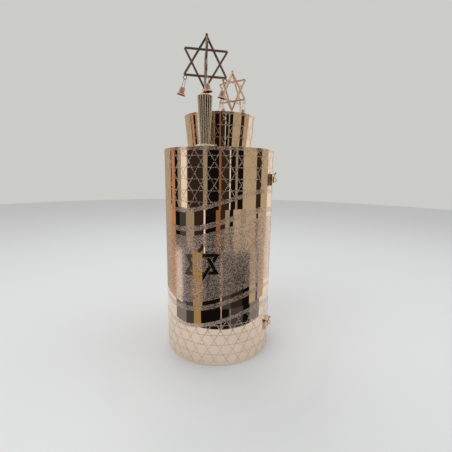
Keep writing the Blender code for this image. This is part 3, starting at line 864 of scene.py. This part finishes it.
def make_stem(side):
    """The round foot, the fluted column and the pointed cap; the middle of each flute is painted near-black
    as painted shade in the groove.
    """
    matrix = finial_matrix(side)
    size = stem_size(side)
    foot = size.x / 2
    top = size.z
    edge = FINIAL_BASE_HEIGHT / 3
    levels = [(0, foot - edge / 4, 0, 0), (edge / 4, foot, 0, 0)]
    for radius, height in rounded_points((foot - edge, FINIAL_BASE_HEIGHT - edge), edge, 0, 90, 5):
        levels.append((height, radius, 0, 0))
    for radius, height in rounded_points((COLUMN_FOOT_RADIUS, FINIAL_BASE_HEIGHT), FOOT_BEAD, 0, 90, 5):
        levels.append((height, radius, 0, 0))
    column_top = FINIAL_BASE_HEIGHT + COLUMN_HEIGHT
    levels += column_levels(FINIAL_BASE_HEIGHT + FOOT_BEAD, column_top)
    levels += cap_levels(column_top + CAP_SHOULDER / 6, top - NECK_HEIGHT)
    levels.append((top, NECK_RADIUS, 0, 0))
    bm = bmesh.new()
    bridged(bm, [fluted_ring(bm, matrix, *level) for level in levels])
    for face in bm.faces:
        middle = matrix.inverted() @ face.calc_center_median()
        if FINIAL_BASE_HEIGHT + FOOT_BEAD < middle.z < column_top:
            step = math.degrees(math.atan2(middle.y, middle.x)) % (360 / FLUTES) * FLUTES / 360
            # The middle of each flute takes the near-black bronze: painted shade
            face.material_index = int(abs(step - 0.5) < FLUTE_SHADE_SHARE / 2)
    piece = finished(f"stem_{WORDS[side]}", bm, [BRONZE, FLUTE_SHADE_BRONZE], math.radians(40))
    placed(piece, BODIES[side], "bronze", f"finial_stem_{WORDS[side]}")


def star_matrix(side):
    """The star cage's centre and lean: its lowest points stand on the stem's neck."""
    lean = LEFT_LEAN if side == LEFT else 0.0
    heading = LEFT_LEAN_HEADING + side * FINIAL_TURN
    axis = Vector((-math.sin(heading), math.cos(heading), 0))
    foot = stem_size(side).z + TOUCH_GAP + NECK_RADIUS * math.sin(lean)
    raised = finial_matrix(side) @ Matrix.Translation((0, 0, foot))
    return raised @ Matrix.Rotation(lean, 4, axis) @ Matrix.Translation((0, 0, CAGE_TIP))


def bar_triangle(bm, matrix, turned_over, thinner):
    """One triangle of flat bar with blunt tips and eased edges."""
    half_depth = (BAR_DEPTH - thinner) / 2
    inner_tip = CAGE_RADIUS - BAR_WIDTH + thinner
    sideways = (TIP_CUT - thinner) * math.tan(math.radians(30))
    frame_bm = bmesh.new()
    rings = []
    for corner in range(3):
        turn = math.radians((-90 if turned_over else 90) + 120 * corner)
        out = Vector((math.cos(turn), 0, math.sin(turn)))
        across = Vector((-out.z, 0, out.x)) * sideways
        points = (out * CAGE_TIP - across, out * CAGE_TIP + across, out * inner_tip)
        faces = []
        for depth in (-half_depth, half_depth):
            faces.append([frame_bm.verts.new(point + Vector((0, depth, 0))) for point in points])
        rings.append(faces)
    for here, there in zip(rings, rings[1:] + rings[:1]):
        for one, two in zip(here, there):
            frame_bm.faces.new(one)
            frame_bm.faces.new((one[1], two[0], two[2], one[2]))
        frame_bm.faces.new((here[0][0], here[0][1], here[1][1], here[1][0]))
        frame_bm.faces.new((here[0][1], there[0][0], there[1][0], here[1][1]))
        frame_bm.faces.new((here[0][2], there[0][2], there[1][2], here[1][2]))
    edges_eased(frame_bm, BAR_EASE)
    frame_bm.transform(matrix)
    spare = meshed("bars", frame_bm)
    bm.from_mesh(spare)
    bpy.data.meshes.remove(spare)


def eye_center():
    """Centre of the eye under a lower corner, in its star's XZ plane."""
    drop = CAGE_RADIUS / 2 + BAR_WIDTH / 2 + EYE_RING - EYE_WIRE / 2
    return Vector((CAGE_RADIUS * math.cos(math.radians(30)) - EYE_INSET, 0, -drop))


def quarter_turn(count):
    return Matrix.Rotation(count * math.pi / 2, 4, "Z")


def make_star(side):
    """Two crossed stars with a ball on top and an eye under each lower corner."""
    matrix = star_matrix(side)
    bm = bmesh.new()
    for quarter in range(2):
        for turned_over in (False, True):
            thinner = (2 * quarter + turned_over) * BAR_STEP
            bar_triangle(bm, matrix @ quarter_turn(quarter), turned_over, thinner)
    ball(bm, BALL_RADIUS, matrix @ Matrix.Translation((0, 0, CAGE_TIP + BALL_RISE)))
    circle = [math.radians(10 * step) for step in range(36)]
    points = [eye_center() + EYE_RING * Vector((math.cos(turn), 0, math.sin(turn))) for turn in circle]
    for corner in range(4):
        wire(bm, points, EYE_WIRE, 10, matrix @ quarter_turn(corner))
    # Left star gets the painted-shade copy and right star the painted-light copy of the same copper
    material = STAR_COPPER_SHADED if side == LEFT else STAR_COPPER_LIT
    piece = finished(f"star_{WORDS[side]}", bm, [material])
    placed(piece, BODIES[side], "copper", f"finial_star_{WORDS[side]}")


def bell_profile():
    """The bell's wall: outside downwards, inside back up. Returns the points and how many are outside."""
    outline = [
        (0, 0),
        (BELL_CROWN_RADIUS, BELL_SHOULDER),
        (BELL_WAIST, -BELL_HEIGHT * 0.26),
        (BELL_WAIST * 1.16, -BELL_HEIGHT * 0.62),
        (BELL_RADIUS * 0.84, -BELL_HEIGHT * 0.88),
        (BELL_RADIUS, -BELL_HEIGHT),
    ]
    outside = smoothed(outline, 6)
    ceiling = -BELL_HEIGHT * 0.2
    inside = [(max(0, radius - BELL_WALL), height) for radius, height in outside if height < ceiling]
    inside[-1] = (BELL_RADIUS - BELL_WALL, -BELL_HEIGHT)
    top = BELL_SHOULDER - 2 * BELL_WALL
    return outside + inside[::-1] + [(BELL_CROWN_RADIUS * 0.6, top - BELL_WALL / 2), (0, top)], len(outside)


def make_bell(side, corner):
    """A bell with its inside and lip painted dark red as shade, hung by a three-cornered wire loop in one of
    the star's eyes.
    """
    bearing = eye_center() + Vector((0, 0, -EYE_RING + EYE_WIRE + BELL_LOOP_WIRE + BELL_CLEARANCE))
    hang = Matrix.Translation(bearing) @ Matrix.Rotation(BELL_LEANS[corner], 4, "Y")
    matrix = star_matrix(side) @ quarter_turn(corner) @ hang @ Matrix.Rotation(BELL_SWINGS[corner], 4, "X")
    drop = BELL_LOOP_HEIGHT - BELL_LOOP_WIRE
    bm = bmesh.new()
    profile, outside = bell_profile()
    # The inside and the lip take the dark red copper: painted shade
    inside_shade_slots = [0 if index < outside - 2 else 1 for index in range(len(profile))]
    turned(bm, profile, 56, matrix @ Matrix.Translation((0, 0, -drop)), inside_shade_slots)
    half = BELL_LOOP_WIDTH / 2
    foot = BELL_LOOP_FOOT / 2
    low = -drop - 2 * BELL_WALL
    points = [Vector((x, 0, z)) for x, z in rounded_points((0, -half), half, 180, 0, 16)]
    points += [Vector((foot, 0, low)), Vector((-foot, 0, low))]
    wire(bm, points, BELL_LOOP_WIRE, 10, matrix @ Matrix.Rotation(BELL_LOOP_TURN, 4, "Z"))
    name = f"bell_{WORDS[side]}_{corner + 1}"
    piece = finished(f"hung_{name}", bm, [BELL_COPPER, BELL_INSIDE_SHADE], math.radians(50))
    placed(piece, BODIES[side], "copper", name)


def on_wall(along, proud, height, back=False):
    """A point that stands proud of the case's wall, on the clasps' side or at the back."""
    angle = along / CASE_RADIUS
    reach = CASE_RADIUS + proud
    return Vector((reach * math.sin(angle), (1 if back else -1) * reach * math.cos(angle), height))


def wrapped(bm, outline, low, high, back=False):
    """An (along, proud) outline bent to the case's wall, extruded from low to high."""
    fine = []
    for (a0, p0), (a1, p1) in zip(outline, outline[1:] + outline[:1]):
        steps = max(1, round(abs(a1 - a0) / BEND_STEP))
        fine += [(a0 + (a1 - a0) * step / steps, p0 + (p1 - p0) * step / steps) for step in range(steps)]
    rings = []
    for height in (low, high):
        rings.append([bm.verts.new(on_wall(along, proud, height, back)) for along, proud in fine])
    bridged(bm, rings)


def plate_outline(near, far, low, high):
    return [(near, low), (far, low), (far, high), (near, high)]


def make_catch(word, height):
    """The left half's catch: a raised box on a riveted flange."""
    low = height - CATCH_HEIGHT / 2
    high = height + CATCH_HEIGHT / 2
    plate = TOUCH_GAP + CLASP_PLATE
    bm = bmesh.new()
    far_edge = -CATCH_FAR - CATCH_FLANGE
    near_edge = -CATCH_NEAR + CATCH_FLANGE / 2
    wrapped(bm, plate_outline(near_edge, far_edge, TOUCH_GAP, plate), low, high)
    box = plate_outline(-CATCH_NEAR, -CATCH_FAR, plate - CATCH_PANEL, CATCH_DEPTH)
    wrapped(bm, box, low + CATCH_PANEL, high - CATCH_PANEL)
    edges_eased(bm, 2 * CLASP_EDGE, 3)
    piece = finished(f"clasp_catch_{word}", bm, [CLASP_METAL])
    placed(piece, "fixed_half", "clasp_metal", f"catch_{word}")


def make_strap(word, height):
    """The right half's strap: it steps over the seam and lies across the catch, with a pull and a ball."""
    low = height - STRAP_HEIGHT / 2
    high = height + STRAP_HEIGHT / 2
    plate = TOUCH_GAP + CLASP_PLATE
    inner = CATCH_DEPTH + STRAP_CLEARANCE
    outer = inner + STRAP_THICKNESS
    reach = -STRAP_REACH
    outline = [
        (STRAP_FOOT_NEAR, TOUCH_GAP),
        (STRAP_FOOT_FAR, TOUCH_GAP),
        (STRAP_FOOT_FAR, plate),
        (STRAP_FOOT_NEAR + STRAP_THICKNESS, plate),
        (STRAP_FOOT_NEAR + STRAP_THICKNESS, inner),
        (STRAP_FOOT_NEAR, outer),
        (reach, outer),
        (reach, inner),
        (STRAP_FOOT_NEAR, inner),
    ]
    bm = bmesh.new()
    wrapped(bm, outline, low, high)
    edges_eased(bm, CLASP_EDGE)
    center = -(CATCH_NEAR + STRAP_REACH) / 2
    matrix = Matrix.Translation(on_wall(center, outer, height))
    matrix = matrix @ Matrix.Rotation(center / CASE_RADIUS - math.pi / 2, 4, "Z")
    sunk = STRAP_THICKNESS / 2
    span = STRAP_HEIGHT / 3
    points = [Vector((-sunk, 0, span))]
    turns = [math.radians(72 - 6 * step) for step in range(25)]
    points += [Vector((PULL_PROUD * math.cos(turn), 0, span * math.sin(turn))) for turn in turns]
    points.append(Vector((-sunk, 0, -span)))
    wire(bm, points, PULL_WIRE, 12, matrix, closed=False)
    foot = STRAP_HEIGHT / 2 - sunk
    top = STRAP_HEIGHT / 2 + CLASP_BALL_RISE
    wire(bm, [Vector((-sunk, 0, foot)), Vector((-sunk, 0, top))], sunk, 14, matrix, closed=False)
    ball(bm, CLASP_BALL_RADIUS, matrix @ Matrix.Translation((CLASP_BALL_RADIUS - 2 * sunk, 0, top)))
    piece = finished(f"clasp_strap_{word}", bm, [CLASP_METAL])
    placed(piece, "swinging_half", "clasp_metal", f"strap_{word}")


def make_heads():
    """Domed heads of the rivets and screws, each where its solid is."""
    dome = [(HEAD_RADIUS, HEAD_HEIGHT / 6), (HEAD_RADIUS * 0.72, HEAD_HEIGHT * 0.76), (0, HEAD_HEIGHT)]
    profile = [(0, 0), (HEAD_RADIUS, 0)] + smoothed(dome, 5)
    fixed = frame["record"]["behaviour"]["bodies"]["fixed_half"]
    for part in frame["record"]["subparts"]:
        node = part["node"]
        if not node.startswith(("rivet_", "screw_")):
            continue
        low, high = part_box(node)
        middle = (low + high) / 2
        out = Vector((middle.x, middle.y, 0)).normalized()
        base = Matrix.Translation(middle - out * HEAD_HEIGHT / 2)
        bm = bmesh.new()
        turned(bm, profile, 28, base @ out.to_track_quat("Z", "Y").to_matrix().to_4x4())
        piece = finished(f"head_{node}", bm, [CLASP_METAL])
        placed(piece, "fixed_half" if node in fixed else "swinging_half", "clasp_metal", node)


def make_leaf(word, side, height, spans):
    """A hinge leaf bent to the wall, with its knuckles rolled round the pin."""
    near = HINGE_BARREL + HINGE_KNUCKLE_GAP
    face = TOUCH_GAP + HINGE_LEAF
    inset = HINGE_LEAF / 10
    bm = bmesh.new()
    low = height - HINGE_HEIGHT / 2
    high = height + HINGE_HEIGHT / 2
    wrapped(bm, plate_outline(side * near, side * HINGE_REACH, TOUCH_GAP, face), low, high, back=True)
    edges_eased(bm, CLASP_EDGE)
    axis = Matrix.Translation((0, HINGE_AXIS_Y, 0))
    for bottom, top in spans:
        web = plate_outline(0, side * near * 1.2, TOUCH_GAP + inset, face - inset)
        wrapped(bm, web, bottom + inset, top - inset, back=True)
        ease = CLASP_EDGE
        profile = [(HINGE_HOLE, bottom), (HINGE_BARREL - ease, bottom), (HINGE_BARREL, bottom + ease)]
        profile += [(HINGE_BARREL, top - ease), (HINGE_BARREL - ease, top), (HINGE_HOLE, top)]
        turned(bm, profile, 40, axis)
    name = f"hinge_leaf_{word}_{WORDS[side]}"
    piece = finished(f"plate_{name}", bm, [CLASP_METAL])
    placed(piece, BODIES[side], "clasp_metal", name)


def make_pin(word, height):
    low = height - HINGE_HEIGHT / 2 - TOUCH_GAP
    high = height + HINGE_HEIGHT / 2 + TOUCH_GAP
    turns = [math.radians(angle) for angle in range(0, 90, 15)]
    cap = [(PIN_HEAD * math.cos(turn), PIN_HEAD_HEIGHT * math.sin(turn)) for turn in turns]
    cap.append((0, PIN_HEAD_HEIGHT))
    profile = [(radius, low - rise) for radius, rise in reversed(cap)]
    profile += [(HINGE_PIN, low), (HINGE_PIN, high)]
    profile += [(radius, high + rise) for radius, rise in cap]
    bm = bmesh.new()
    turned(bm, profile, 32, Matrix.Translation((0, HINGE_AXIS_Y, 0)))
    piece = finished(f"pin_{word}", bm, [CLASP_METAL])
    placed(piece, "fixed_half", "clasp_metal", f"hinge_pin_{word}")


def make_fittings():
    """The clasps at the front and the hinges at the back, at the same two heights."""
    pitch = HINGE_HEIGHT / 3
    gap = HINGE_KNUCKLE_GAP / 2
    for word, height in CLASP_HEIGHTS.items():
        make_catch(word, height)
        make_strap(word, height)
        low = height - HINGE_HEIGHT / 2
        spans = [(low + pitch * index + gap, low + pitch * (index + 1) - gap) for index in range(3)]
        make_leaf(word, LEFT, height, (spans[0], spans[2]))
        make_leaf(word, RIGHT, height, (spans[1],))
        make_pin(word, height)
    make_heads()


def make_camera():
    data = bpy.data.cameras.new("camera")
    data.lens = CAMERA_LENS
    data.sensor_width = CAMERA_SENSOR
    camera = bpy.data.objects.new("camera", data)
    bpy.context.scene.collection.objects.link(camera)
    place = Matrix.Translation(
        (
            CAMERA_DISTANCE * math.sin(CAMERA_AZIMUTH),
            -CAMERA_DISTANCE * math.cos(CAMERA_AZIMUTH),
            CAMERA_HEIGHT,
        )
    )
    aim = Matrix.Rotation(CAMERA_AZIMUTH - CAMERA_RIGHT, 4, "Z")
    tilt = Matrix.Rotation(math.pi / 2 - CAMERA_DOWN, 4, "X")
    roll = Matrix.Rotation(CAMERA_ROLL, 4, "Z")
    camera.matrix_world = place @ aim @ tilt @ roll
    bpy.context.scene.camera = camera


# Stage: floor, surroundings and glowing cards that the polished metal mirrors; the cards are painted
# reflections, unseen by the camera
CARD_RADIUS = 0.355
CARD_TOP = 1.2
FLOOR_RADIUS = 5.0
FLOOR_COLOR = (0.78, 0.79, 0.81)
WALL_COLOR = (0.60, 0.60, 0.58)
LIGHT_DISTANCE = 2.6


def color_material(name, color, roughness):
    material, _, shader = principled(name)
    shader.inputs["Base Color"].default_value = (*color, 1.0)
    shader.inputs["Roughness"].default_value = roughness
    return material


def painted_reflection_material(name, color):
    """A card's glow: a painted reflection that shows its colour in the metal whatever the light."""
    material = bpy.data.materials.new(name)
    material.use_nodes = True
    tree = material.node_tree
    tree.nodes.clear()
    glow = tree.nodes.new("ShaderNodeEmission")
    glow.inputs["Color"].default_value = (*color, 1.0)
    out = tree.nodes.new("ShaderNodeOutputMaterial")
    tree.links.new(glow.outputs["Emission"], out.inputs["Surface"])
    material.cycles.emission_sampling = "NONE"
    return material


# Colours of the glowing cards: painted reflections seen only in the metal
PAINTED_REFLECTION_COLORS = {
    "black": (0.006, 0.005, 0.005),
    "umber": (0.030, 0.020, 0.015),
    "slate": (0.055, 0.052, 0.052),
    "grey": (0.20, 0.20, 0.20),
    "rust": (0.26, 0.12, 0.055),
    "copper": (0.46, 0.24, 0.13),
    "gold": (0.34, 0.24, 0.11),
    "sand": (0.42, 0.36, 0.26),
    "olive": (0.30, 0.27, 0.20),
    "cream": (0.80, 0.76, 0.68),
    "violet": (0.09, 0.08, 0.22),
}

# Painted reflections, each tier of cards: its heights on the card, then the angle on the case where each
# card's mirror image ends
PAINTED_REFLECTION_TIERS = (
    (
        0.415,
        CARD_TOP,
        -76,
        (
            (-54.5, "sand"), (-52.5, "umber"), (-47, "copper"), (-42.5, "black"), (-38, "olive"),
            (-31, "cream"), (-30, "rust"), (-14.5, "umber"), (-10.5, "olive"), (0, "black"),
            (2, "rust"), (9.5, "umber"), (10.5, "cream"), (15, "black"), (17, "olive"),
            (22.5, "black"), (37.5, "sand"), (44.5, "umber"), (56, "sand"), (70, "cream"),
        ),
    ),
    (
        0.27,
        0.415,
        -76,
        (
            (-54, "sand"), (-47, "copper"), (-40.5, "black"), (-32.5, "slate"), (-23.5, "olive"),
            (-14, "umber"), (-12.5, "cream"), (-2.5, "black"), (1.5, "rust"), (6, "umber"),
            (10, "olive"), (13.5, "black"), (20.5, "sand"), (26.5, "olive"), (38.5, "sand"),
            (41.5, "umber"), (55.5, "sand"), (70, "cream"),
        ),
    ),
    (
        0.075,
        0.27,
        -76,
        (
            (-54, "sand"), (-47, "copper"), (-38, "cream"), (-34, "violet"), (-25.5, "slate"),
            (-15.5, "gold"), (2, "black"), (3.5, "sand"), (12.5, "slate"), (24, "umber"),
            (32.5, "black"), (41, "sand"), (44, "violet"), (54, "sand"), (70, "cream"),
        ),
    ),
    (
        0.0,
        0.075,
        -48,
        (
            (-33.5, "grey"), (-24.5, "slate"), (-17, "gold"), (2.5, "black"), (3.5, "sand"),
            (10.5, "black"), (11.5, "slate"), (12.5, "grey"), (25.5, "slate"), (33.5, "black"),
            (47.5, "grey"),
        ),
    ),
)


def mirrored_azimuth(angle):
    """Where, round the case's axis, a level ray from the camera meets the cards after the case mirrors it.

    Both angles are measured from the camera's side, in degrees and radians.
    """
    turn = math.radians(angle)
    spot = Vector((math.sin(turn), math.cos(turn))) * CASE_RADIUS
    away = (spot - Vector((0, CAMERA_DISTANCE))).normalized()
    out = spot.normalized()
    away -= 2 * away.dot(out) * out
    inward = spot.dot(away)
    reach = -inward + math.sqrt(inward**2 + CARD_RADIUS**2 - CASE_RADIUS**2)
    hit = spot + reach * away
    return math.atan2(hit.x, hit.y)


def make_card(name, start, end, low, high, material):
    bm = bmesh.new()
    steps = max(1, math.ceil(math.degrees(end - start) / 4))
    columns = []
    for step in range(steps + 1):
        angle = CAMERA_AZIMUTH + start + (end - start) * step / steps
        x = CARD_RADIUS * math.sin(angle)
        y = -CARD_RADIUS * math.cos(angle)
        columns.append((bm.verts.new((x, y, low)), bm.verts.new((x, y, high))))
    for one, two in zip(columns, columns[1:]):
        bm.faces.new((one[0], two[0], two[1], one[1]))
    card = linked(name, meshed(name, bm, (material,)))
    # The card glows only in reflections: a painted reflection, hidden from the camera, diffuse light and
    # shadows
    card.visible_camera = False
    card.visible_diffuse = False
    card.visible_shadow = False
    card.visible_transmission = False


def make_painted_reflections():
    materials = {name: painted_reflection_material(f"card_{name}", color) for name, color in PAINTED_REFLECTION_COLORS.items()}
    for tier, (low, high, first, cards) in enumerate(PAINTED_REFLECTION_TIERS):
        start = mirrored_azimuth(first)
        for index, (last, color) in enumerate(cards):
            end = mirrored_azimuth(last)
            make_card(f"card_{tier}_{index}", start, end, low, high, materials[color])
            start = end


def make_floor():
    bm = bmesh.new()
    bmesh.ops.create_circle(bm, cap_ends=True, segments=128, radius=FLOOR_RADIUS)
    finish = color_material("pale_floor", FLOOR_COLOR, 0.45)
    linked("floor", meshed("floor", bm, (finish,)))


def make_lights():
    world = bpy.data.worlds.new("studio")
    bpy.context.scene.world = world
    world.use_nodes = True
    background = world.node_tree.nodes["Background"]
    background.inputs["Color"].default_value = (*WALL_COLOR, 1.0)
    background.inputs["Strength"].default_value = 1.0
    for name, heading, rise, size, power in (
        ("key", -120, 55, 1.6, 16),
        ("fill", 20, 50, 1.8, 10),
        ("back", 130, 60, 1.6, 10),
    ):
        data = bpy.data.lights.new(name, "AREA")
        data.energy = power
        data.size = size
        light = bpy.data.objects.new(name, data)
        bpy.context.scene.collection.objects.link(light)
        turn = math.radians(heading)
        lift = math.radians(rise)
        away = Vector((math.sin(turn) * math.cos(lift), -math.cos(turn) * math.cos(lift), math.sin(lift)))
        light.location = away * LIGHT_DISTANCE
        light.rotation_mode = "QUATERNION"
        light.rotation_quaternion = away.to_track_quat("Z", "Y")
        light.visible_glossy = False


make_camera()
make_floor()
make_lights()
make_painted_reflections()
for half in (LEFT, RIGHT):
    make_case_half(half)
    make_crown_half(half)
    make_stem(half)
    make_star(half)
    for bell in range(4):
        make_bell(half, bell)
make_fittings()
bpy.context.scene.view_settings.view_transform = "Standard"
